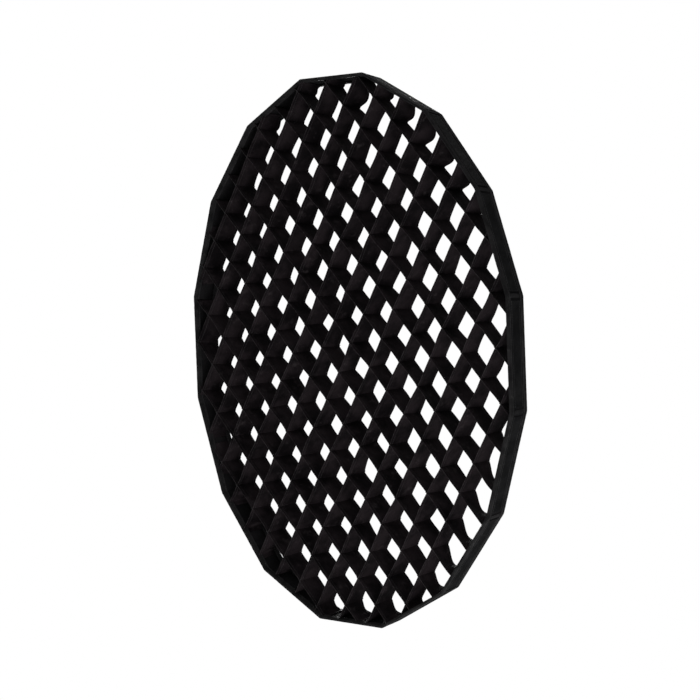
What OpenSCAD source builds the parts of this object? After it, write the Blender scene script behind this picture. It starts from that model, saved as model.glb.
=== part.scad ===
// Egg-crate grid for a 90 cm class sixteen-sided softbox.
// Black fabric strips cross in a square lattice. Their ends are sewn to a band of sixteen fabric
// panels, which is bound at both edges and carries hook tape on its outer face.
//
// The grid stands upright as in use: its face looks along -Y, +X is to the right of someone who looks
// at the face, and +Z is up. The origin is the centre of the rim's front edge.
// Each module works lying flat, face upwards: x is right, y is up and z is towards the viewer.

/* [Rim] */
// Number of straight sides of the rim
sides = 16; // [14:2:18]
// Distance from the centre to a corner of the band, at its front edge
corner_r = 446; // [440:1:460]
// Angle from straight up to the nearest corner, anticlockwise as seen from the front
rim_turn = 5.5; // [5:0.1:6]

/* [Band] */
// Depth of the band from front to back
band_depth = 38; // [36:1:46]
// Thickness of the band
band_t = 2; // [1.2:0.1:3]
// How far the band leans inwards from front to back
band_lean = 9; // [6:0.5:10]
// Gap that the seam takes up between two neighbouring panels
seam_gap = 0.4; // [0.2:0.1:0.8]

/* [Lattice] */
// Distance between two strips of one family, at their front edges
pitch = 59; // [58:0.5:60]
// Depth of the strips from front to back
strip_depth = 34; // [24:1:34]
// How far the strips' front edges lie behind the rim
strip_back = 2; // [1:0.5:4]
// Thickness of a strip at its turned hems
strip_t = 1.8; // [1.2:0.1:2.4]
// How much closer together the strips are at their back edges, as a share of the pitch
fan = 0.01; // [0:0.001:0.02]
// Place of the middle strip of family a, as a share of the pitch
shift_a = -0.2; // [-0.2:0.01:-0.18]
// Place of the middle strip of family b, as a share of the pitch
shift_b = 0.44; // [0.42:0.01:0.45]
// Room in a slot, beyond the thickness of the strip that passes through it
slot_room = 0.8; // [0.5:0.1:1.5]
// Room between the end of a strip and the band, taken up by the folded seam
end_gap = 0.6; // [0.3:0.1:1.5]
// Shortest strip that is worth sewing in
shortest_strip = 60; // [40:5:90]

/* [Hook tape] */
// Width of the hook tape
tape_w = 20; // [14:1:20]
// Thickness of the hook tape with its hooks
tape_t = 1.6; // [1:0.1:2.5]
// Length of the band left bare beside each corner
tape_bare = 7; // [6:1:15]

/* [Trim] */
// Width of the binding tape on each side of an edge
bind_w = 8; // [5:0.5:8]
// Thickness of one layer of binding tape
bind_t = 0.8; // [0.5:0.1:1.2]
// Width of the tape over a corner seam, on each side of the corner
corner_tape_w = 5; // [3:0.5:5]
// Thickness of the corner tape
corner_tape_t = 0.8; // [0.5:0.1:1.2]
// Length of the stitched bar that ties two strips together where they cross
tack_l = 6; // [4:0.5:9]
// Width and height of the stitched bar
tack_t = 1.2; // [0.8:0.1:1.8]

/* [Hidden] */
half_side = 180 / sides;
rim_r = corner_r * cos(half_side); // from the centre to the middle of a side, at the front
inner_r = rim_r - band_t; // the same, to the band's inner face
band_slope = band_lean / band_depth;
strip_low = strip_back + strip_depth; // depth of the strips' back edges behind the rim
middle_share = 0.5; // the slots of both families meet half way down the strips
tape_gap = 1; // between the front binding and the hook tape
tape_front = bind_w + tape_gap;
turn_a = 45; // direction of family a's strips in the face
turn_b = -45; // direction of family b's strips in the face
most = ceil(corner_r / pitch);
slot_half = (strip_t + slot_room) / 2;
slot_overlap = 0.5; // how far two slots that meet reach past each other
past = 1; // how far a cut runs past the solid
least_cosine = 0.01;
wall_room = 14; // least room between the band and a strip that runs along it

// Direction of side i's middle, measured anticlockwise from +x in the flat face.
function side_angle(i) = 90 + rim_turn + half_side + i * 360 / sides;

// Inradius of the band's inner face at a depth behind the rim.
function band_inside(depth) = inner_r - band_slope * depth;

// Distance from the middle of a strip to the outline of inradius r. The strip lies at angle turn, a
// distance place from the centre, and end is 1 or -1.
function reach(turn, place, end, r) = min([
    for (i = [0:sides - 1])
        let (along = end * cos(side_angle(i) - turn))
        if (along > least_cosine) (r - place * sin(side_angle(i) - turn)) / along
]);

// The same for a strip with thickness, whose nearer corner has to clear the outline.
function strip_end(turn, place, end, r) = end * min(
    reach(turn, place - strip_t / 2, end, r),
    reach(turn, place + strip_t / 2, end, r)
);

// Front edge positions of one family's strips, in order across the face. A strip that would be too
// short or run along the band is left out.
function places(turn, shift) = [
    for (k = [-most:most])
        let (
            place = (k + shift) * pitch,
            far = strip_end(turn, place, 1, inner_r),
            near = strip_end(turn, place, -1, inner_r)
        )
        if (abs(place) < inner_r - wall_room && far - near > shortest_strip) place
];

places_a = places(turn_a, shift_a);
places_b = places(turn_b, shift_b);

// Seen along a strip of one family, the other family's strips cross at these positions.
crossings_on_a = places_b;
crossings_on_b = [for (p = places_a) -p];

function two_digits(n) = n < 10 ? str("0", n) : str(n);
function strip_name(family, k) = str("strip_", family, "_", two_digits(k + 1));
function panel_name(i) = str("band_panel_", two_digits(i + 1));

TRIM = [
    "hook_tape", "front_binding", "back_binding", "corner_tapes", "front_tacks", "back_tacks"
];

fabric_black = [0.035, 0.033, 0.036];
band_black = [0.025, 0.025, 0.027];
tape_black = [0.05, 0.05, 0.052];
thread_black = [0.07, 0.07, 0.075];

// Stands a flat-lying piece up, so that the face looks along -Y.
module upright() {
    rotate([90, 0, 0]) children();
}

// One side's length of a profile, mitred to the corners. The profile's points are distance from the
// centre and height, anticlockwise, and gap is left free at each corner for the seam.
module mitred_side(profile, i, gap) {
    n = len(profile);
    points = [
        for (end = [-1, 1]) for (p = profile) [p[0], end * (p[0] * tan(half_side) - gap / 2), p[1]]
    ];
    faces = concat(
        [[for (j = [0:n - 1]) n - 1 - j]],
        [[for (j = [0:n - 1]) n + j]],
        [for (j = [0:n - 1]) [j, (j + 1) % n, n + (j + 1) % n, n + j]]
    );
    rotate([0, 0, side_angle(i)]) polyhedron(points, faces);
}

// The same profile all the way round as one closed ring.
module mitred_ring(profile) {
    n = len(profile);
    points = [
        for (i = [0:sides - 1])
            let (corner = side_angle(i) - half_side)
            for (p = profile) [
                p[0] / cos(half_side) * cos(corner),
                p[0] / cos(half_side) * sin(corner),
                p[1]
            ]
    ];
    faces = [
        for (i = [0:sides - 1])
            let (here = i * n, next = ((i + 1) % sides) * n)
            for (j = [0:n - 1]) [here + j, here + (j + 1) % n, next + (j + 1) % n, next + j]
    ];
    polyhedron(points, faces);
}

// A slot for a crossing strip, from depth w0 to depth w1. It follows that strip's lean.
module slot(crossing, w0, w1, depth) {
    s0 = crossing * (1 - fan * w0 / depth);
    s1 = crossing * (1 - fan * w1 / depth);
    polygon([
        [s0 - slot_half, -w0], [s0 + slot_half, -w0],
        [s1 + slot_half, -w1], [s1 - slot_half, -w1]
    ]);
}

// One strip of hemmed fabric, cut flat, slotted half way and stood on edge at its place.
// Slots of family b open at the front and slots of family a open at the back.
module strip(turn, place, crossings, slots_in_front) {
    lean = atan(place * fan / strip_depth);
    depth = strip_depth / cos(lean);
    back = place * (1 - fan);
    front_r = band_inside(strip_back) - end_gap;
    back_r = band_inside(strip_low) - end_gap;
    middle = depth * middle_share;
    w0 = slots_in_front ? -past : middle - slot_overlap / 2;
    w1 = slots_in_front ? middle + slot_overlap / 2 : depth + past;
    rotate([0, 0, turn])
    translate([0, place, -strip_back])
    rotate([90 - lean, 0, 0])
    linear_extrude(strip_t, center = true)
    difference() {
        polygon([
            [strip_end(turn, place, -1, front_r), 0],
            [strip_end(turn, back, -1, back_r), -depth],
            [strip_end(turn, back, 1, back_r), -depth],
            [strip_end(turn, place, 1, front_r), 0]
        ]);
        for (crossing = crossings) slot(crossing, w0, w1, depth);
    }
}

module strip_a(k) {
    color(fabric_black) upright() strip(turn_a, places_a[k], crossings_on_a, false);
}

module strip_b(k) {
    color(fabric_black) upright() strip(turn_b, places_b[k], crossings_on_b, true);
}

// One flat panel of the band. It leans inwards to the back, as the lattice does.
module band_panel(i) {
    profile = [
        [band_inside(band_depth), -band_depth],
        [band_inside(band_depth) + band_t, -band_depth],
        [rim_r, 0],
        [inner_r, 0]
    ];
    color(band_black) upright() mitred_side(profile, i, seam_gap);
}

// Hook tape, one flat length on the outer face of each panel.
module hook_tape() {
    length = 2 * (rim_r - band_lean) * tan(half_side) - 2 * tape_bare;
    tilt = atan(band_slope);
    color(tape_black)
    upright()
    for (i = [0:sides - 1])
        rotate([0, 0, side_angle(i)])
        translate([rim_r, 0, 0])
        rotate([0, tilt, 0])
        translate([0, -length / 2, -tape_front - tape_w])
        cube([tape_t, length, tape_w]);
}

// Tape folded over the band's edge at a depth behind the rim. towards is 1 at the front edge, where
// the tape runs back from the edge, and -1 at the back edge.
module binding(depth, towards) {
    edge_in = band_inside(depth);
    edge_out = edge_in + band_t;
    far = depth + towards * bind_w;
    far_in = band_inside(far);
    far_out = far_in + band_t;
    cap = -depth + towards * bind_t;
    loop = [
        [far_in - bind_t, -far], [far_in, -far], [edge_in, -depth],
        [edge_out, -depth], [far_out, -far], [far_out + bind_t, -far],
        [edge_out + bind_t, cap], [edge_in - bind_t, cap]
    ];
    mitred_ring(towards > 0 ? loop : [for (j = [0:len(loop) - 1]) loop[len(loop) - 1 - j]]);
}

module front_binding() {
    color(tape_black) upright() binding(0, 1);
}

module back_binding() {
    color(tape_black) upright() binding(band_depth, -1);
}

// Tapes folded over the band's corners, on the outer face between the two bindings.
module corner_tapes() {
    back = band_depth - bind_w - tape_gap;
    tilt = atan(band_slope / cos(half_side));
    run = (back - tape_front) / cos(tilt);
    under = corner_tape_w * [-sin(half_side), cos(half_side)];
    over = under + corner_tape_t * [cos(half_side), sin(half_side)];
    fold = [corner_tape_t / cos(half_side), 0];
    color(tape_black)
    upright()
    for (i = [0:sides - 1])
        rotate([0, 0, side_angle(i) - half_side])
        translate([(rim_r - band_slope * tape_front) / cos(half_side), 0, -tape_front])
        rotate([0, tilt, 0])
        translate([0, 0, -run])
        linear_extrude(run)
        polygon([[0, 0], under, over, fold, [over[0], -over[1]], [under[0], -under[1]]]);
}

// Bars of stitching over the crossings, at one edge of the strips. Each bar lies across the slot that
// opens at that edge. share is how close together the strips are there, low is the height of the
// bars' lower side, and quarter is 90 where the bars run along family b.
module tacks(share, low, quarter) {
    for (place = places_a)
        for (crossing = crossings_on_a)
            if (abs(crossing) < abs(strip_end(turn_a, place, sign(crossing), inner_r)) - tack_l)
                rotate([0, 0, turn_a])
                translate([crossing * share, place * share, low])
                rotate([0, 0, quarter])
                translate([-tack_l / 2, -tack_t / 2, 0])
                cube([tack_l, tack_t, tack_t]);
}

module front_tacks() {
    color(thread_black) upright() tacks(1, -strip_back, 90);
}

module back_tacks() {
    color(thread_black) upright() tacks(1 - fan, -strip_low - tack_t, 0);
}

for (k = [0:len(places_a) - 1])
    strip_a(k);
for (k = [0:len(places_b) - 1])
    strip_b(k);
for (i = [0:sides - 1])
    band_panel(i);
hook_tape();
front_binding();
back_binding();
corner_tapes();
front_tacks();
back_tacks();
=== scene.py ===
import math

import bpy
import numpy as np
from mathutils import Matrix, Vector


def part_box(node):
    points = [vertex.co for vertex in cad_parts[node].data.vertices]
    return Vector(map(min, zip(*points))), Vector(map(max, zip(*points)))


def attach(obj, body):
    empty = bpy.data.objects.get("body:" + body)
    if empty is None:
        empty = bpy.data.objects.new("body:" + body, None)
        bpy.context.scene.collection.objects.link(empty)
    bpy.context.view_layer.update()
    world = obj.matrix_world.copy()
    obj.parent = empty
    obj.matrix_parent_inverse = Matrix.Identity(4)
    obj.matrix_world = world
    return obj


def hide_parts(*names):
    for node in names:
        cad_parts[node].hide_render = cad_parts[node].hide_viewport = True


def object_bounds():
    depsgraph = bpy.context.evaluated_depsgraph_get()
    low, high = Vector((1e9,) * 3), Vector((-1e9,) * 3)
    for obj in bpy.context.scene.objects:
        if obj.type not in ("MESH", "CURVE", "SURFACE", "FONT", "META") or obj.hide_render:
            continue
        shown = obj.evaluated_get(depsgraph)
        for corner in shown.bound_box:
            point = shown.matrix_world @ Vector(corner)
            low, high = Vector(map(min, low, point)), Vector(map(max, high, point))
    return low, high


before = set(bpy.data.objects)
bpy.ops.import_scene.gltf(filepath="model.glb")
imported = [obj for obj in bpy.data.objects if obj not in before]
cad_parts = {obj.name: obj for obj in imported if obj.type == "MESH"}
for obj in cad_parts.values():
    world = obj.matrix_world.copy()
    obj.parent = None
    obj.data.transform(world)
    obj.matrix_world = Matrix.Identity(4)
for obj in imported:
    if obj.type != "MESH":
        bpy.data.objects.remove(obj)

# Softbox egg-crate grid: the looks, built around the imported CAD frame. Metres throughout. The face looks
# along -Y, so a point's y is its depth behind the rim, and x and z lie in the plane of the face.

cad_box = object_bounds()
rng = np.random.default_rng(20)

MM = 0.001
UV = "cloth"  # the UV map of every cloth piece: metres along the cloth and across it

# The rim and the band, as in the CAD source.
SIDES = 16
HALF_SIDE = math.pi / SIDES
RIM_TURN = math.radians(5.5)
CORNER_R = 0.446
RIM_R = CORNER_R * math.cos(HALF_SIDE)  # centre to the middle of a side, at the front edge
BAND_T = 2 * MM
BAND_DEPTH = 38 * MM
BAND_LEAN = 9 * MM
BAND_SLOPE = BAND_LEAN / BAND_DEPTH
INNER_R = RIM_R - BAND_T

# The strips, as in the CAD source.
PITCH = 59 * MM
STRIP_BACK = 2 * MM
STRIP_DEPTH = 34 * MM
FAN = 0.01  # how much closer together the strips are at the back, as a share
END_GAP = 0.6 * MM

# The trim, as in the CAD source.
BIND_W = 8 * MM
TAPE_W = 20 * MM
TAPE_FRONT = 9 * MM
TAPE_BARE = 7 * MM
TAPE_LENGTH = 2 * (RIM_R - BAND_LEAN) * math.tan(HALF_SIDE) - 2 * TAPE_BARE
CORNER_TAPE_W = 5 * MM
TACK_L = 6 * MM
TACK_R = 0.6 * MM


# ---------------------------------------------------------------------------------------------------
# Meshes
# ---------------------------------------------------------------------------------------------------

SHARP_ANGLE = math.radians(55)


def new_piece(name, verts, faces, material, uvs=None):
    """A mesh object that rides on the root body. uvs holds one pair for each corner of each face."""
    mesh = bpy.data.meshes.new(name)
    mesh.from_pydata(np.asarray(verts).tolist(), [], [list(f) for f in faces])
    if uvs is not None:
        mesh.uv_layers.new(name=UV).data.foreach_set("uv", np.asarray(uvs, np.float32).ravel())
    mesh.shade_smooth()
    mesh.set_sharp_from_angle(angle=SHARP_ANGLE)
    mesh.materials.append(material)
    piece = bpy.data.objects.new(name, mesh)
    bpy.context.scene.collection.objects.link(piece)
    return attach(piece, "root")


def grid_normals(points, closed):
    """Unit normals of a grid of points, rows by columns."""
    if closed:
        along = np.roll(points, -1, 1) - np.roll(points, 1, 1)
    else:
        along = np.gradient(points, axis=1)
    across = np.gradient(points, axis=0)
    normals = np.cross(along, across)
    return normals / np.maximum(np.linalg.norm(normals, axis=2, keepdims=True), 1e-12)


def closed_faces(quads, count):
    """Faces of a closed sheet: the quads of its upper side, the same turned over on its lower side, whose
    vertices come count later, and walls along the free edges. Also says which edges are free."""
    starts, ends = quads.ravel(), np.roll(quads, -1, 1).ravel()
    free = ~np.isin(ends * count + starts, starts * count + ends)
    a, b = starts[free], ends[free]
    walls = np.stack([b, a, a + count, b + count], 1)
    return np.concatenate([quads, quads[:, ::-1] + count, walls]), free


def cloth(points, half, uv, cut=None, closed=False):
    """A grid of points, rows by columns, made into cloth of a half thickness that may vary from point
    to point. cut is True where a quad is left out, and a closed grid's last column joins its first.
    Returns vertices, faces and UVs."""
    rows, cols = points.shape[:2]
    offset = grid_normals(points, closed) * np.broadcast_to(half, (rows, cols))[..., None]
    verts = np.concatenate([(points + offset).reshape(-1, 3), (points - offset).reshape(-1, 3)])
    spans = cols if closed else cols - 1
    r, c = np.meshgrid(np.arange(rows - 1), np.arange(spans), indexing="ij")
    kept = np.ones(r.shape, bool) if cut is None else ~cut
    r, c = r[kept], c[kept]
    corner_rows = np.stack([r, r, r + 1, r + 1], 1)
    corner_cols = np.stack([c, c + 1, c + 1, c], 1)
    faces, free = closed_faces(corner_rows * cols + corner_cols % cols, rows * cols)
    quad_uv = uv[corner_rows, corner_cols]
    a, b = quad_uv.reshape(-1, 2)[free], np.roll(quad_uv, -1, 1).reshape(-1, 2)[free]
    uvs = np.concatenate([quad_uv, quad_uv[:, ::-1], np.stack([b, a, a, b], 1)])
    return verts, faces, uvs


def scatter(template, faces, centres, axes, sizes):
    """Copies of a template mesh as one mesh. Each copy has a centre, three axes and three sizes."""
    verts = np.einsum("nvk,nkd->nvd", template[None] * sizes[:, None], axes) + centres[:, None]
    starts = np.arange(len(centres)) * len(template)
    all_faces = [[start + i for i in face] for start in starts.tolist() for face in faces]
    return verts.reshape(-1, 3), all_faces


def bead(rings, sides, ribs=0, rib_depth=0.0):
    """A closed bar along x from -1 to 1 with a radius of 1 and rounded ends, ribbed like wound thread."""
    s = np.linspace(-1, 1, rings)
    roundness, end_area = 5, 0.12
    radius = np.sqrt(np.maximum(1 - np.abs(s) ** roundness, end_area))
    radius = radius * (1 - rib_depth * (0.5 + 0.5 * np.cos(s * ribs * math.pi)))
    turn = np.arange(sides) * 2 * math.pi / sides
    verts = np.stack([
        np.repeat(s, sides),
        (radius[:, None] * np.cos(turn)).ravel(),
        (radius[:, None] * np.sin(turn)).ravel(),
    ], 1)
    faces = [list(range(sides))[::-1], list(range((rings - 1) * sides, rings * sides))]
    for r in range(rings - 1):
        for k in range(sides):
            j = (k + 1) % sides
            faces.append([r * sides + k, r * sides + j, (r + 1) * sides + j, (r + 1) * sides + k])
    return verts, faces


def waves(length, count, shortest):
    """A smooth random curve of height about 1 that repeats after length. It is the sum of count sines, none
    of them much shorter than shortest."""
    orders = np.arange(1, max(2, int(length / shortest)))
    orders = rng.choice(orders, min(count, len(orders)), replace=False)
    phases = rng.uniform(0, 2 * math.pi, len(orders))
    heights = rng.uniform(0.5, 1, len(orders)) / math.sqrt(len(orders))
    return lambda s: sum(
        h * np.sin(2 * math.pi * k * s / length + p) for k, p, h in zip(orders, phases, heights)
    )


# ---------------------------------------------------------------------------------------------------
# The rim's shape
# ---------------------------------------------------------------------------------------------------

def side_angle(i):
    """Which way side i of the rim looks, counted from +X towards +Z."""
    return math.pi / 2 + RIM_TURN + HALF_SIDE * (2 * i + 1)


SIDE_ANGLES = side_angle(np.arange(SIDES))
CORNER_ROUND = 8 * MM
CORNER_SHARE = 0.02  # share of a side's length that lies in each corner's curve
SIDE_LENGTH = 2 * RIM_R * math.tan(HALF_SIDE)
NEAR = 0.002  # a small step round the rim, in sides


def rim_points(t, offset, depth):
    """Points beside the band's outer face. t counts sides round the rim, with corners at whole numbers;
    offset is outwards from the face and depth is behind the rim."""
    t, offset, depth = np.broadcast_arrays(t, offset, depth)
    side = np.floor(t)
    share = t - side
    normal = side_angle(side)
    base = RIM_R - BAND_SLOPE * depth - CORNER_ROUND
    straight = np.clip((share - CORNER_SHARE) / (1 - 2 * CORNER_SHARE), 0, 1) * 2 - 1
    along = straight * base * math.tan(HALF_SIDE)
    x = base * np.cos(normal) - along * np.sin(normal)
    z = base * np.sin(normal) + along * np.cos(normal)
    bend = np.minimum(share / CORNER_SHARE - 1, 0) + np.maximum((share - 1) / CORNER_SHARE + 1, 0)
    turned = normal + bend * HALF_SIDE
    out = CORNER_ROUND + offset
    return np.stack([x + out * np.cos(turned), depth, z + out * np.sin(turned)], -1)


def inside_r(depth):
    """Inradius that the strips' ends keep to, at a depth behind the rim."""
    return INNER_R - BAND_SLOPE * depth - END_GAP


def room_inside(x, z, depth):
    """How far points in the face lie inside the strips' outline."""
    out = np.cos(SIDE_ANGLES) * x[..., None] + np.sin(SIDE_ANGLES) * z[..., None]
    return inside_r(depth) - out.max(-1)


# ---------------------------------------------------------------------------------------------------
# The lattice
# ---------------------------------------------------------------------------------------------------

TURNS = {"a": math.pi / 4, "b": -math.pi / 4}


def direction(turn):
    """The way a family's strips run, as x and z."""
    return np.array([math.cos(turn), math.sin(turn)])


def across(turn):
    """The way from one strip of a family to the next, as x and z."""
    return np.array([-math.sin(turn), math.cos(turn)])


def strip_places(family):
    """How far each strip of a family lies from the centre, from its CAD node's box."""
    count = sum(n.startswith(f"strip_{family}_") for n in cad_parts)
    places = []
    for k in range(count):
        low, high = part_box(f"strip_{family}_{k + 1:02d}")
        middle = (low + high) / 2
        places.append(float(np.dot(across(TURNS[family]), (middle.x, middle.z))))
    return np.array(places)


PLACES = {family: strip_places(family) for family in TURNS}

# Where the strips cross, at their front and back edges. The lattice leans in at the back as the band
# does, more so near the band, and the cloth is never quite even.
RIM_LEAN = BAND_SLOPE * STRIP_DEPTH / INNER_R - FAN
LEAN_POWER = 4
HOLD_POWER = 6  # the band holds the strips near it, and this is how soon its hold fades
DRIFT = 1.1 * MM
DRIFT_BACK = 1.5 * MM
SLOW_DRIFT = 1.3 * MM
EDGE_DRIFT = 0.5 * MM
BACK_SHIFT = 0.1  # the back edges drift slowly as the front ones do this far to the side
LEAST_ROOM = 1 * MM  # strips that meet closer to the band than this get no slots and no stitches there


def lean_share(r):
    """How much closer to the centre a point is at the strips' back edges, as a share of r."""
    return FAN + RIM_LEAN * np.minimum(r / INNER_R, 1) ** LEAN_POWER


def slow_drift(x, z):
    """A slow wave over the whole face, as x and z."""
    bend_x = np.sin(9.1 * x + 5.3 * z + 0.7) + 0.6 * np.sin(-6.2 * x + 15.1 * z + 2.1)
    bend_z = np.sin(-7.7 * x + 8.9 * z + 4.2) + 0.6 * np.sin(14.3 * x + 6.8 * z + 0.4)
    return SLOW_DRIFT * np.stack([bend_x, bend_z], -1)


def crossings():
    """Front and back points of every crossing, and whether it lies far enough inside the band."""
    ya, yb = np.meshgrid(PLACES["a"], PLACES["b"], indexing="ij")
    flat = ya[..., None] * across(TURNS["a"]) + yb[..., None] * across(TURNS["b"])
    r = np.linalg.norm(flat, axis=-1, keepdims=True)
    free = 1 - np.minimum(r / INNER_R, 1) ** HOLD_POWER
    front_drift = slow_drift(flat[..., 0], flat[..., 1]) + rng.normal(0, DRIFT, flat.shape)
    back_slow = slow_drift(flat[..., 0] + BACK_SHIFT, flat[..., 1])
    back_drift = back_slow + rng.normal(0, DRIFT_BACK, flat.shape)
    front = flat + free * front_drift
    back = (flat + free * back_drift) * (1 - lean_share(r))
    y = rng.normal(0, EDGE_DRIFT, (2, *ya.shape)) * free[..., 0]
    ends = STRIP_BACK, STRIP_BACK + STRIP_DEPTH
    points = [
        np.stack([p[..., 0], ends[k] + y[k], p[..., 1]], -1) for k, p in enumerate((front, back))
    ]
    inside = np.minimum(
        room_inside(flat[..., 0], flat[..., 1], STRIP_BACK),
        room_inside(back[..., 0], back[..., 1], STRIP_BACK + STRIP_DEPTH),
    )
    return points[0], points[1], inside > LEAST_ROOM


FRONT, BACK, CROSSES = crossings()

# Rows across a strip: distance from the front edge and half thickness, through the turned hem and its
# row of stitches to the plain cloth in the middle.
HEM_ROWS = [
    (0, 0.18), (0.25, 0.48), (0.8, 0.66), (2.4, 0.68), (3.9, 0.66), (4.4, 0.5), (4.9, 0.66),
    (5.9, 0.62), (6.4, 0.36), (9.5, 0.33), (13.2, 0.33),
]
DEPTH_MM = STRIP_DEPTH / MM
ROWS = np.array(
    HEM_ROWS + [(DEPTH_MM / 2, 0.33)] + [(DEPTH_MM - d, h) for d, h in reversed(HEM_ROWS)]
) * MM
ROW_SHARE = ROWS[:, 0] / STRIP_DEPTH
MIDDLE_ROW = len(HEM_ROWS)
HEM_STITCH = 4.4 * MM  # from a strip's edge to its row of stitches
STEP = 5.5 * MM
SLOT_ROOM = 0.12 * MM  # on each side of the strip that passes through, before bows and creases
TAB = 10 * MM
TAB_BEND = 3.5 * MM
TAB_ROOM = 2 * MM  # between a tab and the next strip's end
LEAST_TAB = 1.5 * MM
LEAST_FLAT = 0.2 * MM  # the straight part of the shortest tab
END_DRIFT = 0.8 * MM
END_SLACK = 0.13  # spare length in the last span's back edge, as a share of the span
MOST_HANG = 0.33  # the deepest that the span may hang, as a share of its length
HANG_ROOM = 0.6  # the share of the room towards the band that a hanging span may take up
BOWS = 0.9 * MM, 0.7 * MM, 1.2 * MM  # at the front edge, in the middle and at the back edge
SNAKES = 0.35 * MM, 0.35 * MM, 0.5 * MM
CREASE = 0.22 * MM


def reaches(r, place, end, turn):
    """How far along its own direction a strip meets the line of each side, for sides r from the centre."""
    out = end * np.cos(SIDE_ANGLES - turn)
    with np.errstate(divide="ignore", invalid="ignore"):
        return np.where(out > 0.01, (r - place * np.sin(SIDE_ANGLES - turn)) / out, np.inf)


def panel_of(family, place, end):
    """The side that a strip's end meets, its place along that side, the strip's slide along the side, and
    the side's own direction."""
    turn = TURNS[family]
    reach = reaches(INNER_R, place, end, turn)
    i = int(reach.argmin())
    hit = end * reach[i] * direction(turn) + place * across(turn)
    tangent = np.array([-math.sin(SIDE_ANGLES[i]), math.cos(SIDE_ANGLES[i])])
    return i, float(hit @ tangent), float(end * direction(turn) @ tangent), tangent


def strip_ends():
    """The side that each strip's end meets, the way it is turned along that side, and its tab's length."""
    found = {}
    for family in TURNS:
        for k, place in enumerate(PLACES[family]):
            for end in (-1, 1):
                found[family, k, end] = panel_of(family, place, end)
    ends = {}
    half_side = SIDE_LENGTH / 2
    for key, (i, at, slide, tangent) in found.items():
        others = [f[1] for other, f in found.items() if f[0] == i and other != key]
        up = min([half_side - at] + [o - at for o in others if o > at])
        down = min([at + half_side] + [at - o for o in others if o < at])
        way = 1 if slide > 0 else -1
        room = {1: up, -1: down}
        if room[way] < TAB_BEND + TAB_ROOM < room[-way]:
            way = -way
        ends[key] = i, tangent * way, float(np.clip(room[way] - TAB_ROOM, LEAST_TAB, TAB))
    return ends


ENDS = strip_ends()


def end_points(family, k, end, depths):
    """Where a strip's end meets the band, row by row."""
    turn = TURNS[family]
    share = (depths - STRIP_BACK) / STRIP_DEPTH
    drift = rng.normal(0, END_DRIFT, 2)
    place = PLACES[family][k] * (1 - lean_share(INNER_R) * share)
    place = place + drift[0] * (1 - share) + drift[1] * share
    reach = reaches(inside_r(depths)[:, None], place[:, None], end, turn).min(1)
    flat = (end * reach)[:, None] * direction(turn) + place[:, None] * across(turn)
    return np.stack([flat[:, 0], depths, flat[:, 1]], -1)


def hermite(p0, p1, m0, m1, s):
    """Points on a cubic from p0 to p1 at shares s, which has a row for each row of vectors p and m."""
    s = s[..., None]
    p0, p1, m0, m1 = (v[:, None] for v in (p0, p1, m0, m1))
    s2, s3 = s * s, s * s * s
    from_p0 = (2 * s3 - 3 * s2 + 1) * p0 + (s3 - 2 * s2 + s) * m0
    return from_p0 + (3 * s2 - 2 * s3) * p1 + (s3 - s2) * m1


def tab_points(near, corner, tangent, length):
    """Columns that bend from the strip's last point onto the band and along it as a sewn tab."""
    along = np.array([tangent[0], 0, tangent[1]])
    bend = min(TAB_BEND, length)
    past = corner + along * bend
    columns = []
    for s in np.linspace(0, 1, 5)[1:]:
        columns.append((1 - s) ** 2 * near + 2 * s * (1 - s) * corner + s * s * past)
    for s in np.linspace(0, 1, 4)[1:]:
        columns.append(past + along * (s * max(length - bend, LEAST_FLAT)))
    return columns


def hang(points, lengths, s):
    """How far a strip's last span hangs down between the last crossing and the band. The band leans in,
    so the span is cut too long for its back edge, and the slack bows downwards."""
    slack = max(lengths[0] - lengths[-1], 0) + END_SLACK * lengths[-1]
    depth = 2 / math.pi * math.sqrt(lengths[-1] * slack) * rng.uniform(0.8, 1.05)
    depths = min(depth, MOST_HANG * lengths[-1]) * np.maximum(ROW_SHARE[:, None], 1e-6)
    room = room_inside(points[..., 0], points[..., 2], points[..., 1])
    room = HANG_ROOM * np.maximum(room, 0.01 * MM)
    return (depths ** -3 + room ** -3) ** (-1 / 3) * np.sin(math.pi * s) ** 1.5


def stray(length, s):
    """How far a span's cloth strays to the side between two crossings: a bow and a smaller snake, each
    changing smoothly from the front edge to the back edge."""
    size = length / PITCH
    bow, snake = rng.normal(0, BOWS) * size, rng.normal(0, SNAKES) * size
    w = ROW_SHARE[:, None]
    parts = (1 - w) * (1 - 2 * w), 4 * w * (1 - w), w * (2 * w - 1)
    bow_rows = sum(b * p for b, p in zip(bow, parts))
    snake_rows = sum(b * p for b, p in zip(snake, parts))
    return bow_rows * np.sin(math.pi * s) + snake_rows * np.sin(2 * math.pi * s)


def creases(distance):
    """Fine creases across a strip at distances along it, which differ between its middle and its hems."""
    of_middle, of_hems = waves(1.0, 9, 0.02), waves(1.0, 7, 0.035)
    middle = np.sin(math.pi * ROW_SHARE)[:, None]
    return CREASE * (middle * of_middle(distance)[None] + (1 - middle) * of_hems(distance)[None])


def strip_knots(family, k):
    """A strip's crossings with an end point before and after them, row by row."""
    if family == "a":
        front, back, present = FRONT[k], BACK[k], CROSSES[k]
    else:
        front, back, present = FRONT[::-1, k], BACK[::-1, k], CROSSES[::-1, k]
    share = ROW_SHARE[:, None, None]
    knots = front[present][None] * (1 - share) + back[present][None] * share
    depths = knots[:, :, 1].mean(1)
    first, last = (end_points(family, k, end, depths) for end in (-1, 1))
    return np.concatenate([first[:, None], knots, last[:, None]], 1)


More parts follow.
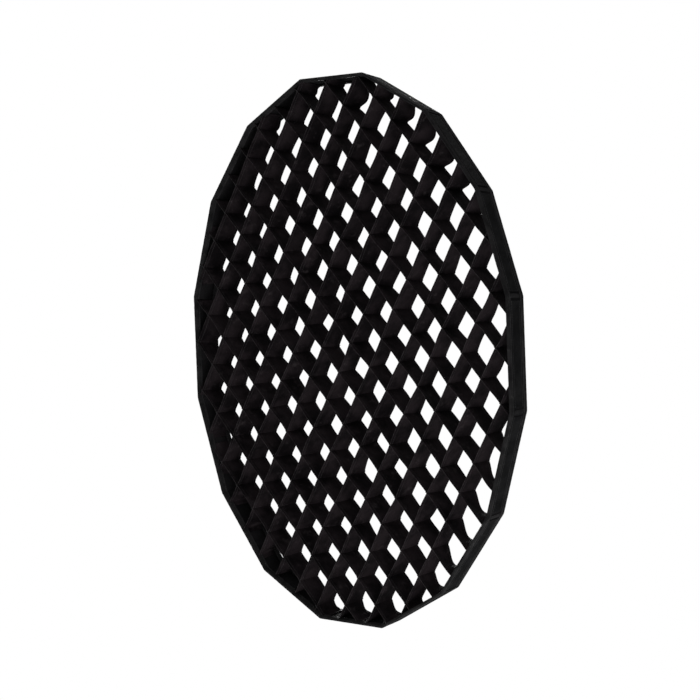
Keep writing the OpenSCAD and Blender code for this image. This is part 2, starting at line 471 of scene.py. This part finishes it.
def spans_of(knots):
    """The lengths of the spans between knots, and the tangents at the knots, row by row."""
    chords = np.diff(knots, axis=1)
    lengths = np.linalg.norm(chords, axis=2, keepdims=True)
    units = chords / lengths
    tangents = [units[:, 0]]
    for n in range(1, knots.shape[1] - 1):
        before, after = lengths[:, n - 1], lengths[:, n]
        mixed = units[:, n - 1] * after + units[:, n] * before
        tangents.append(mixed / (before + after))
    tangents.append(units[:, -1])
    return lengths, tangents


def strip_points(family, k):
    """A strip's grid of points, each column's distance along it, and the columns where its slots are."""
    knots = strip_knots(family, k)
    lengths, tangents = spans_of(knots)
    sway = across(TURNS[family])
    sway = np.array([sway[0], 0, sway[1]])
    columns, distance, slots = [], [], []
    travelled = 0.0
    spans = len(tangents) - 1
    for n in range(spans):
        span = lengths[:, n]
        length = float(span.mean())
        at_first, at_last = n == 0, n == spans - 1
        gap = np.minimum(ROWS[:, 1] + SLOT_ROOM, 0.3 * length)
        bend = min(TAB_BEND, 0.4 * length)
        before = np.full(len(ROWS), bend) if at_first else gap
        after = np.full(len(ROWS), bend) if at_last else gap
        step = STEP / 2 if at_first or at_last else STEP
        steps = max(2, round((length - before[0] - gap[0]) / step) + 1)
        s = np.linspace(before, length - after, steps, axis=1) / length
        points = hermite(
            knots[:, n], knots[:, n + 1], tangents[n] * span, tangents[n + 1] * span, s
        )
        push = stray(length, s)
        if at_first or at_last:
            push = push - hang(points, span[:, 0], s)
        points = points + push[..., None] * sway
        if at_first:
            _, tangent, tab = ENDS[family, k, -1]
            tab_columns = tab_points(points[:, 0], knots[:, 0], tangent, tab)[::-1]
            columns += tab_columns
            distance += list(np.linspace(-tab, bend * 0.8, len(tab_columns)))
        else:
            slots.append(len(columns) - 1)
        columns += list(points.transpose(1, 0, 2))
        distance += list(travelled + s.mean(0) * length)
        travelled += length
        if at_last:
            _, tangent, tab = ENDS[family, k, 1]
            tab_columns = tab_points(points[:, -1], knots[:, -1], tangent, tab)
            columns += tab_columns
            distance += list(travelled + np.linspace(-bend * 0.8, tab, len(tab_columns)))
    distance = np.array(distance)
    points = np.stack(columns, 1) + creases(distance)[..., None] * sway
    return points, distance, slots


def build_strip(family, k):
    """One strip of the lattice: it waves from crossing to crossing, its slots are cut at the crossings,
    and each end is turned along the band."""
    points, distance, slots = strip_points(family, k)
    cut = np.zeros((len(ROWS) - 1, len(distance) - 1), bool)
    slotted = slice(MIDDLE_ROW, None) if family == "a" else slice(0, MIDDLE_ROW)
    cut[slotted, slots] = True
    uv = np.stack(np.broadcast_arrays(distance[None], ROWS[:, 0][:, None]), -1)
    verts, faces, uvs = cloth(points, ROWS[:, 1][:, None], uv, cut)
    name = f"strip_{family}_{k + 1:02d}"
    piece = new_piece(name + "_cloth", verts, faces, LATTICE, uvs)
    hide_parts(name)


# ---------------------------------------------------------------------------------------------------
# Materials
# ---------------------------------------------------------------------------------------------------

class Nodes:
    """Short names for the nodes of one material."""

    def __init__(self, name):
        self.material = bpy.data.materials.new(name)
        self.material.use_nodes = True
        self.tree = self.material.node_tree
        self.shader = self.tree.nodes["Principled BSDF"]

    def add(self, kind, **settings):
        """A new node."""
        node = self.tree.nodes.new(kind)
        for key, value in settings.items():
            setattr(node, key, value)
        return node

    def link(self, value, socket):
        """Gives a socket another node's output or a constant."""
        if isinstance(value, bpy.types.NodeSocket):
            self.tree.links.new(value, socket)
        else:
            socket.default_value = value

    def math(self, operation, a, b=0.0, c=0.0):
        node = self.add("ShaderNodeMath", operation=operation)
        for value, socket in zip((a, b, c), node.inputs):
            self.link(value, socket)
        return node.outputs[0]

    def uv(self):
        """Metres along the cloth and across it."""
        split = self.add("ShaderNodeSeparateXYZ")
        self.link(self.add("ShaderNodeUVMap", uv_map=UV).outputs[0], split.inputs[0])
        return split.outputs[0], split.outputs[1]

    def noise(self, scale, detail=2.0, roughness=0.5, stretch=None):
        """Noise with about scale bumps a metre."""
        node = self.add("ShaderNodeTexNoise")
        node.inputs["Scale"].default_value = scale
        node.inputs["Detail"].default_value = detail
        node.inputs["Roughness"].default_value = roughness
        vector = self.add("ShaderNodeTexCoord").outputs["Object"]
        if stretch:
            mapping = self.add("ShaderNodeMapping")
            mapping.inputs["Scale"].default_value = stretch
            self.link(vector, mapping.inputs["Vector"])
            vector = mapping.outputs[0]
        self.link(vector, node.inputs["Vector"])
        return node.outputs["Fac"]

    def spread(self, value, low, high, to_low=0.0, to_high=1.0):
        """The range from low to high mapped to another one, smoothly."""
        node = self.add("ShaderNodeMapRange")
        node.interpolation_type = "SMOOTHSTEP"
        for number, socket in zip((value, low, high, to_low, to_high), node.inputs):
            self.link(number, socket)
        return node.outputs[0]

    def mix(self, share, a, b):
        """A colour that is a at a share of 0 and b at 1."""
        node = self.add("ShaderNodeMix", data_type="RGBA")
        self.link(share, node.inputs["Factor"])
        for value, socket in ((a, node.inputs[6]), (b, node.inputs[7])):
            self.link((*value, 1.0) if isinstance(value, tuple) else value, socket)
        return node.outputs[2]

    def bump(self, height, strength, distance, under=None):
        """A normal bent by a height, on top of the normal under it."""
        node = self.add("ShaderNodeBump")
        node.inputs["Strength"].default_value = strength
        node.inputs["Distance"].default_value = distance
        self.link(height, node.inputs["Height"])
        if under is not None:
            self.link(under, node.inputs["Normal"])
        return node.outputs[0]

    def finish(self, colour, roughness, normal, sheen, specular, sheen_tint=(1.0, 1.0, 1.0)):
        """The material, with its shader's sockets filled."""
        self.link(colour, self.shader.inputs["Base Color"])
        self.link(roughness, self.shader.inputs["Roughness"])
        self.link(normal, self.shader.inputs["Normal"])
        self.shader.inputs["Sheen Weight"].default_value = sheen
        self.shader.inputs["Sheen Roughness"].default_value = 0.45
        self.shader.inputs["Sheen Tint"].default_value = (*sheen_tint, 1.0)
        self.shader.inputs["Specular IOR Level"].default_value = specular
        return self.material


def weave(nodes, yarn):
    """Height of a plain weave with yarns of a width, from 0 to 1."""
    u, v = nodes.uv()
    turn = math.pi / yarn
    warp = nodes.math("SINE", nodes.math("MULTIPLY", u, turn))
    weft = nodes.math("SINE", nodes.math("MULTIPLY", v, turn))
    over = nodes.math("MULTIPLY", warp, weft)
    return nodes.math("MULTIPLY_ADD", over, 0.5, 0.5)


def dashes(nodes, rows, pitch, length, width):
    """1 on the stitches of rows of thread that run along the cloth, at given places across it."""
    u, v = nodes.uv()
    turn = nodes.math("FRACT", nodes.math("MULTIPLY", u, 1 / pitch))
    from_middle = nodes.math("ABSOLUTE", nodes.math("SUBTRACT", turn, 0.5))
    half = length / pitch / 2
    on = nodes.spread(from_middle, half, half - 0.1)
    best = None
    for row in rows:
        away = nodes.math("ABSOLUTE", nodes.math("SUBTRACT", v, row))
        line = nodes.spread(away, width, width / 2)
        best = line if best is None else nodes.math("MAXIMUM", best, line)
    return nodes.math("MULTIPLY", on, best)


def cloudy_colour(nodes, cloudy, dark, light, edge=0.35):
    """A colour that drifts between two shades."""
    return nodes.mix(nodes.spread(cloudy, edge, 1 - edge), dark, light)


def lattice_material():
    nodes = Nodes("lattice_fabric")
    cloudy = nodes.noise(23, 4, 0.6)
    fine = nodes.noise(210, 3, 0.6)
    # Lighter patches in the strips' colour: partly wear and dust, partly a painted sheen, the faint mottled
    # highlights of the faces painted in.
    lighter_patches = nodes.spread(nodes.noise(55, 5, 0.7), 0.56, 0.72)
    colour = cloudy_colour(nodes, cloudy, (0.0016, 0.0013, 0.0015), (0.0062, 0.0048, 0.0054))
    colour = nodes.mix(nodes.math("MULTIPLY", lighter_patches, 0.5), colour, (0.016, 0.0134, 0.0142))
    _, across_strip = nodes.uv()
    outer, inner = 0.2 * MM, 0.9 * MM  # the folded edges are painted lighter as far in as this
    from_front = nodes.spread(across_strip, inner, outer)
    from_back = nodes.spread(across_strip, STRIP_DEPTH - inner, STRIP_DEPTH - outer)
    patches = nodes.spread(fine, 0.42, 0.6, 0.15, 0.8)
    # Lighter colour along the folded edges, in patches: partly rubbed wear and partly a painted edge
    # highlight.
    edge_wear_and_highlight = nodes.math("MULTIPLY", nodes.math("MAXIMUM", from_front, from_back), patches)
    colour = nodes.mix(edge_wear_and_highlight, colour, (0.0145, 0.0132, 0.0136))
    hems = HEM_STITCH, STRIP_DEPTH - HEM_STITCH
    thread = dashes(nodes, hems, pitch=3.4 * MM, length=2.4 * MM, width=0.42 * MM)
    colour = nodes.mix(thread, colour, (0.016, 0.015, 0.0155))
    height = nodes.math("ADD", weave(nodes, 0.55 * MM), nodes.math("MULTIPLY", fine, 0.8))
    normal = nodes.bump(nodes.noise(48, 3, 0.6), 0.35, 1.2 * MM)
    normal = nodes.bump(height, 0.4, 0.12 * MM, normal)
    normal = nodes.bump(thread, 0.8, 0.3 * MM, normal)
    rough = nodes.spread(cloudy, 0.3, 0.7, 0.72, 0.9)
    return nodes.finish(colour, rough, normal, 0.001, 0.01, sheen_tint=(1.0, 0.93, 0.95))


def band_material():
    nodes = Nodes("band_fabric")
    cloudy = nodes.noise(14, 4, 0.6)
    fine = nodes.noise(260, 3, 0.6)
    colour = cloudy_colour(nodes, cloudy, (0.0019, 0.0019, 0.0020), (0.0046, 0.0044, 0.0047))
    scuffs = nodes.spread(nodes.noise(90, 5, 0.75, (1, 6, 1)), 0.62, 0.75)
    colour = nodes.mix(nodes.math("MULTIPLY", scuffs, 0.5), colour, (0.015, 0.0143, 0.015))
    height = nodes.math("ADD", weave(nodes, 0.8 * MM), nodes.math("MULTIPLY", fine, 0.7))
    normal = nodes.bump(nodes.noise(38, 3, 0.6), 0.4, 1.5 * MM)
    normal = nodes.bump(height, 0.5, 0.16 * MM, normal)
    rough = nodes.spread(cloudy, 0.3, 0.7, 0.62, 0.8)
    return nodes.finish(colour, rough, normal, 0.003, 0.005)


def binding_material():
    nodes = Nodes("binding_tape")
    along_tape, _ = nodes.uv()
    rib = nodes.math("SINE", nodes.math("MULTIPLY", along_tape, 2 * math.pi / (0.95 * MM)))
    cloudy = nodes.noise(40, 4, 0.6)
    colour = cloudy_colour(nodes, cloudy, (0.0031, 0.0031, 0.0032), (0.0070, 0.0068, 0.0070))
    # Lighter patches of wear on the binding tape.
    lighter_patches = nodes.spread(nodes.noise(120, 4, 0.7), 0.58, 0.72)
    colour = nodes.mix(nodes.math("MULTIPLY", lighter_patches, 0.5), colour, (0.020, 0.0193, 0.0193))
    height = nodes.math("MULTIPLY_ADD", rib, 0.5, nodes.noise(900, 2, 0.5))
    normal = nodes.bump(height, 0.6, 0.14 * MM)
    rough = nodes.spread(cloudy, 0.3, 0.7, 0.5, 0.68)
    return nodes.finish(colour, rough, normal, 0.005, 0.005)


def hook_material():
    nodes = Nodes("hook_tape")
    fine = nodes.noise(700, 3, 0.6)
    cloudy = nodes.noise(30, 3, 0.6)
    dark, light = (0.0022, 0.0022, 0.0023), (0.0049, 0.0049, 0.0051)
    colour = cloudy_colour(nodes, cloudy, dark, light, edge=0.3)
    lint = nodes.spread(nodes.noise(160, 4, 0.7), 0.64, 0.74)
    colour = nodes.mix(nodes.math("MULTIPLY", lint, 0.5), colour, (0.022, 0.0215, 0.021))
    normal = nodes.bump(nodes.math("ADD", fine, weave(nodes, 0.6 * MM)), 0.5, 0.15 * MM)
    rough = nodes.spread(fine, 0.3, 0.7, 0.4, 0.6)
    return nodes.finish(colour, rough, normal, 0.002, 0.01)


def thread_material():
    nodes = Nodes("thread")
    fine = nodes.noise(1500, 2, 0.5)
    cloudy = nodes.noise(60, 3, 0.6)
    colour = cloudy_colour(nodes, cloudy, (0.0095, 0.0095, 0.0100), (0.0190, 0.0183, 0.0190))
    normal = nodes.bump(fine, 0.5, 0.1 * MM)
    rough = nodes.spread(fine, 0.3, 0.7, 0.42, 0.62)
    return nodes.finish(colour, rough, normal, 0.003, 0.01)


def floor_material():
    nodes = Nodes("floor")
    colour = nodes.mix(nodes.noise(3, 3, 0.5), (0.78, 0.78, 0.79), (0.84, 0.84, 0.84))
    normal = nodes.bump(nodes.noise(60, 3, 0.5), 0.1, 1 * MM)
    rough = nodes.spread(nodes.noise(5, 2, 0.5), 0.3, 0.7, 0.6, 0.75)
    return nodes.finish(colour, rough, normal, 0.0, 0.3)


LATTICE = lattice_material()
BAND = band_material()
BINDING = binding_material()
HOOK = hook_material()
THREAD = thread_material()


# ---------------------------------------------------------------------------------------------------
# Band, bindings and tapes
# ---------------------------------------------------------------------------------------------------

BAND_HALF = 0.7 * MM
BAND_RIPPLE = 0.16 * MM
BAND_BELLY = 0.3 * MM
SEAM_W = 4.5 * MM
SEAM_HALF = 0.25 * MM  # half of what the turned seam allowances add to the band's thickness
PANEL_GAP = 0.2 * MM  # from a panel's end to the corner
PANEL_INSET = 0.5 * MM  # from the band's edges to a panel's first and last rows
PANEL_EDGE = 0.06  # share of a side at each end that has finer columns


def build_panel(i):
    """One side of the band, with the turned seam allowances standing up on its inner face."""
    gap = PANEL_GAP / SIDE_LENGTH
    edge = np.linspace(0, 1, 9)[:-1] ** 1.5 * PANEL_EDGE
    t = np.concatenate([edge, np.linspace(PANEL_EDGE, 1 - PANEL_EDGE, 54), 1 - edge[::-1]])
    t = np.clip(t, gap, 1 - gap)
    inner_rows = np.linspace(3 * PANEL_INSET, BAND_DEPTH - 3 * PANEL_INSET, 22)
    depths = np.concatenate([[PANEL_INSET], inner_rows, [BAND_DEPTH - PANEL_INSET]])
    ripple_front, ripple_back = waves(0.5, 6, 0.03), waves(0.5, 6, 0.04)
    length = t * SIDE_LENGTH
    w = (depths / BAND_DEPTH)[:, None]
    belly = np.sin(math.pi * w) * np.sin(math.pi * t)
    ripple = (1 - w) * ripple_front(length)[None] + w * ripple_back(length)[None]
    from_corner = np.minimum(t, 1 - t)[None] * SIDE_LENGTH
    seam = np.sqrt(np.clip(1 - from_corner / SEAM_W, 0, 1))
    seam = seam * np.sin(math.pi * np.clip(w * 1.04 - 0.02, 0, 1)) ** 0.3
    offset = -BAND_T / 2 + BAND_RIPPLE * ripple + BAND_BELLY * belly - SEAM_HALF * seam
    points = rim_points(i + t[None], offset, depths[:, None])
    uv = np.stack(np.broadcast_arrays(length[None], depths[:, None]), -1)
    verts, faces, uvs = cloth(points, BAND_HALF + SEAM_HALF * seam, uv)
    name = f"band_panel_{i + 1:02d}"
    piece = new_piece(name + "_cloth", verts, faces, BAND, uvs)
    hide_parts(name)


# The folded binding's section at the front edge: depth behind the edge and offset from the band's outer
# face, round from the outer flap's end to the inner flap's end.
BINDING_SECTION = np.array([
    (8.0, 0.42), (7.2, 0.52), (6.6, 0.46), (6.2, 0.30), (5.8, 0.46), (4.6, 0.56), (2.8, 0.58),
    (1.2, 0.55), (0.3, 0.36), (-0.2, -0.1), (-0.42, -0.9), (-0.36, -1.9), (0.0, -2.7), (0.7, -3.15),
    (1.8, -3.35), (3.4, -3.4), (4.8, -3.38), (5.8, -3.28), (6.2, -3.1), (6.6, -3.28), (7.2, -3.36),
    (8.0, -3.3),
]) * MM
BINDING_COLUMNS = 72
BINDING_HALF = 0.3 * MM
PUCKER = 0.13 * MM
FOLD_PUCKER = 0.12 * MM
BINDING_SWAY = 0.3 * MM
OUTER_ROW, INNER_ROW = 3, 18  # the points of the section where the two rows of stitches sink in
STITCH_PITCH = 3.6 * MM
STITCH_LIFT = 0.32 * MM
BINDING_STITCH = np.array([1.35, 0.3, 0.26]) * MM  # half the length, width and height of a stitch
TAPE_STITCH = np.array([1.3, 0.28, 0.22]) * MM  # the same for the hook tape's stitches
STITCH_TILT = 0.06
STITCH_BEAD = bead(7, 6)


def binding_points(t, section, edge, towards):
    """Points of the binding. edge is the bound edge's depth, towards is 1 at the front, -1 at the back."""
    depth = edge + towards * section[..., 0]
    return rim_points(t, section[..., 1], depth)


def stitch_row(centres, along, size, tilt=0.0):
    """Centres, axes and sizes of stitches that lie along the rim, each turned by a small tilt."""
    count = len(centres)
    along = along / np.linalg.norm(along, axis=1, keepdims=True)
    side = np.repeat(np.array([[0.0, 1.0, 0.0]]), count, 0)
    out = np.cross(along, side)
    along, side = along + side * tilt, side - along * tilt
    return centres, np.stack([along, side, out], 1), size * rng.uniform(0.93, 1.07, (count, 1))


def build_stitches(name, rows):
    """Rows of stitches as one piece."""
    verts, faces = scatter(*STITCH_BEAD, *(np.concatenate(parts) for parts in zip(*rows)))
    return new_piece(name, verts, faces, THREAD)


def build_binding(name, edge, towards):
    """Binding tape folded over one edge of the band, puckered along its two rows of stitches."""
    t = np.arange(SIDES * BINDING_COLUMNS) / BINDING_COLUMNS
    around = SIDES * SIDE_LENGTH
    section = np.repeat(BINDING_SECTION[:, None], len(t), 1)
    outer_pucker, inner_pucker = waves(around, 40, 0.009), waves(around, 40, 0.009)
    slow = waves(around, 24, 0.05)
    flap = np.clip(BINDING_SECTION[:, 0] / BIND_W, 0, 1)[:, None]
    outer = (BINDING_SECTION[:, 1] > -BAND_T / 2)[:, None]
    s = t * SIDE_LENGTH
    lift = np.where(outer, outer_pucker(s)[None], -inner_pucker(s)[None])
    section[..., 1] += PUCKER * lift * flap
    section[..., 0] += BINDING_SWAY * slow(s)[None] * flap
    section[..., 0] += FOLD_PUCKER * inner_pucker(s)[None] * (1 - flap)
    points = binding_points(t[None], section, edge, towards)
    if towards < 0:
        points = points[::-1]
    run = np.append(s, around)
    steps = np.linalg.norm(np.diff(BINDING_SECTION, axis=0), axis=1)
    girth = np.concatenate([[0], np.cumsum(steps)])
    uv = np.stack(np.broadcast_arrays(run[None], girth[:, None]), -1)
    verts, faces, uvs = cloth(points, BINDING_HALF, uv, closed=True)
    piece = new_piece(name + "_tape", verts, faces, BINDING, uvs)
    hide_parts(name)
    rows = []
    count = round(around / STITCH_PITCH)
    at = (np.arange(count) + 0.5) * SIDES / count
    for row, lift in ((OUTER_ROW, STITCH_LIFT), (INNER_ROW, -STITCH_LIFT)):
        place = np.repeat(BINDING_SECTION[row][None], count, 0)
        place[:, 1] += lift
        centres = binding_points(at, place, edge, towards)
        ahead = binding_points(at + NEAR, place, edge, towards)
        behind = binding_points(at - NEAR, place, edge, towards)
        tilt = rng.normal(0, STITCH_TILT, (count, 1))
        rows.append(stitch_row(centres, ahead - behind, BINDING_STITCH, tilt))
    thread = build_stitches(name + "_stitches", rows)


HOOK_STEP = 0.95 * MM
HOOK_HEIGHT = 0.7 * MM
HOOK_JOG = 0.07 * MM
BACKING_MIDDLE = 0.45 * MM
BACKING_TOP = 0.3 * MM
BACKING_UNDER = 0.25 * MM
TAPE_SLACK = 0.12 * MM
TAPE_SEAM = 1 * MM  # from the tape's edge to its row of stitches
TAPE_SEAM_END = 2 * MM  # from the tape's ends to the ends of its rows
TAPE_STITCH_LIFT = 0.4 * MM


def build_hook_tape(i):
    """One length of hook tape: a woven backing with plain edges and a field of hooks."""
    share = TAPE_LENGTH / SIDE_LENGTH
    columns = round(TAPE_LENGTH / HOOK_STEP)
    t = 0.5 + np.linspace(-0.5, 0.5, columns + 1) * share
    rows = round(TAPE_W / HOOK_STEP)
    across_tape = np.linspace(0, TAPE_W, rows + 1)
    depth = TAPE_FRONT + across_tape * math.cos(math.atan(BAND_SLOPE))
    r, c = np.meshgrid(np.arange(rows + 1), np.arange(columns + 1), indexing="ij")
    field = (r > 1) & (r < rows - 1) & (c > 0) & (c < columns)
    hooks = field * ((r + c) % 2) * rng.uniform(0.75, 1.0, r.shape)
    middle = BACKING_MIDDLE + waves(0.5, 5, 0.03)(t * SIDE_LENGTH)[None] * TAPE_SLACK
    along = t[None] + rng.normal(0, HOOK_JOG, r.shape) * field / SIDE_LENGTH
    top = rim_points(i + along, middle + BACKING_TOP + hooks * HOOK_HEIGHT, depth[:, None])
    under = rim_points(i + t[None], middle - BACKING_UNDER, depth[:, None])
    grid = r * (columns + 1) + c
    quads = np.stack([grid[:-1, :-1], grid[:-1, 1:], grid[1:, 1:], grid[1:, :-1]], -1)
    faces, _ = closed_faces(quads.reshape(-1, 4), grid.size)
    verts = np.concatenate([top.reshape(-1, 3), under.reshape(-1, 3)])
    uv = np.stack(np.broadcast_arrays((t * SIDE_LENGTH)[None], across_tape[:, None]), -1)
    uv = np.concatenate([uv.reshape(-1, 2)] * 2)
    piece = new_piece(f"hook_tape_{i + 1:02d}", verts, faces, HOOK, uv[faces.ravel()])
    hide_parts("hook_tape")


def build_hook_stitches():
    """The two rows of thread that hold every length of hook tape."""
    length = TAPE_LENGTH - 2 * TAPE_SEAM_END
    count = round(length / STITCH_PITCH)
    above = BACKING_MIDDLE + TAPE_STITCH_LIFT
    rows = []
    for i in range(SIDES):
        for row in (TAPE_SEAM, TAPE_W - TAPE_SEAM):
            at = i + 0.5 + (np.arange(count) / (count - 1) - 0.5) * length / SIDE_LENGTH
            centres = rim_points(at, above, TAPE_FRONT + row)
            ahead = rim_points(at + NEAR, above, TAPE_FRONT + row)
            rows.append(stitch_row(centres, ahead - centres, TAPE_STITCH))
    piece = build_stitches("hook_tape_stitches", rows)


CORNER_TAPE_GAP = 1 * MM  # to the bindings
CORNER_TAPE_OUT = 0.42 * MM
CORNER_TAPE_SEAM = 0.72  # where its two seams run, as a share of its half width
CORNER_TAPE_SINK = 0.12 * MM  # at the seams
CORNER_TAPE_PUCKER = 0.1 * MM


def build_corner_tapes():
    """Short tapes folded over the corner seams, on the outer face between the bindings."""
    front, back = BIND_W + CORNER_TAPE_GAP, BAND_DEPTH - BIND_W - CORNER_TAPE_GAP
    depths = np.linspace(front, back, 12)
    width = CORNER_TAPE_W / SIDE_LENGTH
    t = np.linspace(-width, width, 19)
    from_corner = np.abs(t[None]) / width
    sunk = CORNER_TAPE_SINK * (np.abs(from_corner - CORNER_TAPE_SEAM) < 0.1)
    verts, faces, uvs, start = [], [], [], 0
    for i in range(SIDES):
        pucker = CORNER_TAPE_PUCKER * waves(0.1, 4, 0.008)(depths)[:, None]
        offset = CORNER_TAPE_OUT + pucker * from_corner - sunk
        points = rim_points((i + t[None]) % SIDES, offset, depths[:, None])
        uv = np.stack(np.broadcast_arrays(depths[:, None], (t * SIDE_LENGTH)[None]), -1)
        v, f, w = cloth(points, BINDING_HALF, uv)
        verts.append(v)
        faces.append(f + start)
        uvs.append(w)
        start += len(v)
    verts, faces, uvs = (np.concatenate(parts) for parts in (verts, faces, uvs))
    piece = new_piece("corner_tapes_cloth", verts, faces, BINDING, uvs)
    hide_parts("corner_tapes")


TACK_SIZE = np.array([TACK_L / 2, 0.8 * TACK_R, 1.15 * TACK_R])
TACK_LIFT = 0.35 * MM
TACK_BEAD = bead(27, 8, ribs=12, rib_depth=0.2)


def build_tacks(name, points, family, out):
    """Bars of satin stitch over the crossings, along one family's strips. out is -1 at the front."""
    centres = points[CROSSES] + np.array([0, out * TACK_LIFT, 0])
    flat = direction(TURNS[family])
    along = np.repeat(np.array([[flat[0], 0.0, flat[1]]]), len(centres), 0)
    along = along + rng.normal(0, STITCH_TILT, along.shape) * np.array([1, 0, 1])
    along = along / np.linalg.norm(along, axis=1, keepdims=True)
    up = np.repeat(np.array([[0.0, -1.0, 0.0]]), len(centres), 0)
    side = np.cross(up, along)
    sizes = TACK_SIZE * rng.uniform(0.92, 1.08, (len(centres), 1))
    verts, faces = scatter(*TACK_BEAD, centres, np.stack([along, up, side], 1), sizes)
    piece = new_piece(name + "_thread", verts, faces, THREAD)
    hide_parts(name)


for side in range(SIDES):
    build_panel(side)
for family in TURNS:
    for k in range(len(PLACES[family])):
        build_strip(family, k)
build_binding("front_binding", 0.0, 1)
build_binding("back_binding", BAND_DEPTH, -1)
for side in range(SIDES):
    build_hook_tape(side)
build_hook_stitches()
build_corner_tapes()
build_tacks("front_tacks", FRONT, "b", -1)
build_tacks("back_tacks", BACK, "a", 1)


# ---------------------------------------------------------------------------------------------------
# Stage, lights and camera
# ---------------------------------------------------------------------------------------------------

CENTRE = (cad_box[0] + cad_box[1]) / 2
FLOOR_BELOW = 1.9
FLOOR_R = 11.0
AZIMUTH = math.radians(55.3)  # 0 is in front of the face
ELEVATION = math.radians(-2.35)
DISTANCE = 4.67
UPWARDS = Vector((-0.041, 0.141, 0.989))  # upright in the picture


def backwards(azimuth, elevation):
    """The way from the grid to whatever looks at it. Azimuth 0 is in front of the face."""
    return Vector((
        math.sin(azimuth) * math.cos(elevation),
        -math.cos(azimuth) * math.cos(elevation),
        math.sin(elevation),
    ))


def build_floor():
    """A round pale floor below the grid."""
    turn = np.linspace(0, 2 * math.pi, 97)[:-1]
    rings = [1.0, 3.0, 6.0, FLOOR_R]
    z = CENTRE.z - FLOOR_BELOW
    verts = [(0.0, 0.0, z)]
    for r in rings:
        verts += [(r * math.cos(a), r * math.sin(a), z) for a in turn]
    n = len(turn)
    faces = [[0, 1 + k, 1 + (k + 1) % n] for k in range(n)]
    for ring in range(len(rings) - 1):
        a, b = 1 + ring * n, 1 + (ring + 1) * n
        faces += [[a + k, b + k, b + (k + 1) % n, a + (k + 1) % n] for k in range(n)]
    mesh = bpy.data.meshes.new("floor")
    mesh.from_pydata(verts, [], faces)
    mesh.materials.append(floor_material())
    floor = bpy.data.objects.new("floor", mesh)
    bpy.context.scene.collection.objects.link(floor)


def area_light(name, azimuth, elevation, distance, size, power):
    """A soft square light aimed at the grid."""
    back = backwards(math.radians(azimuth), math.radians(elevation))
    light = bpy.data.lights.new(name, "AREA")
    light.shape = "SQUARE"
    light.size = size
    light.energy = power
    lamp = bpy.data.objects.new(name, light)
    lamp.location = CENTRE + back * distance
    lamp.rotation_euler = back.to_track_quat("Z", "Y").to_euler()
    bpy.context.scene.collection.objects.link(lamp)


def build_camera():
    """A long lens at the angle and the distance from which the grid was seen."""
    back = backwards(AZIMUTH, ELEVATION)
    right = UPWARDS.cross(back).normalized()
    up = back.cross(right)
    data = bpy.data.cameras.new("camera")
    data.lens = 150
    data.sensor_width = 36
    data.clip_end = 100
    camera = bpy.data.objects.new("camera", data)
    turn = Matrix((right, up, back)).transposed().to_4x4()
    camera.matrix_world = Matrix.Translation(CENTRE + back * DISTANCE) @ turn
    bpy.context.scene.collection.objects.link(camera)
    bpy.context.scene.camera = camera


world = bpy.data.worlds.new("studio")
world.use_nodes = True
background = world.node_tree.nodes["Background"]
background.inputs["Color"].default_value = (1.0, 1.0, 1.0, 1.0)
background.inputs["Strength"].default_value = 1.0
bpy.context.scene.world = world
bpy.context.scene.view_settings.view_transform = "Standard"

build_floor()
area_light("key", azimuth=60, elevation=-35, distance=2.6, size=1.0, power=100)
area_light("top", azimuth=10, elevation=50, distance=2.8, size=1.6, power=14)
area_light("back", azimuth=235, elevation=12, distance=3.0, size=1.2, power=170)
build_camera()
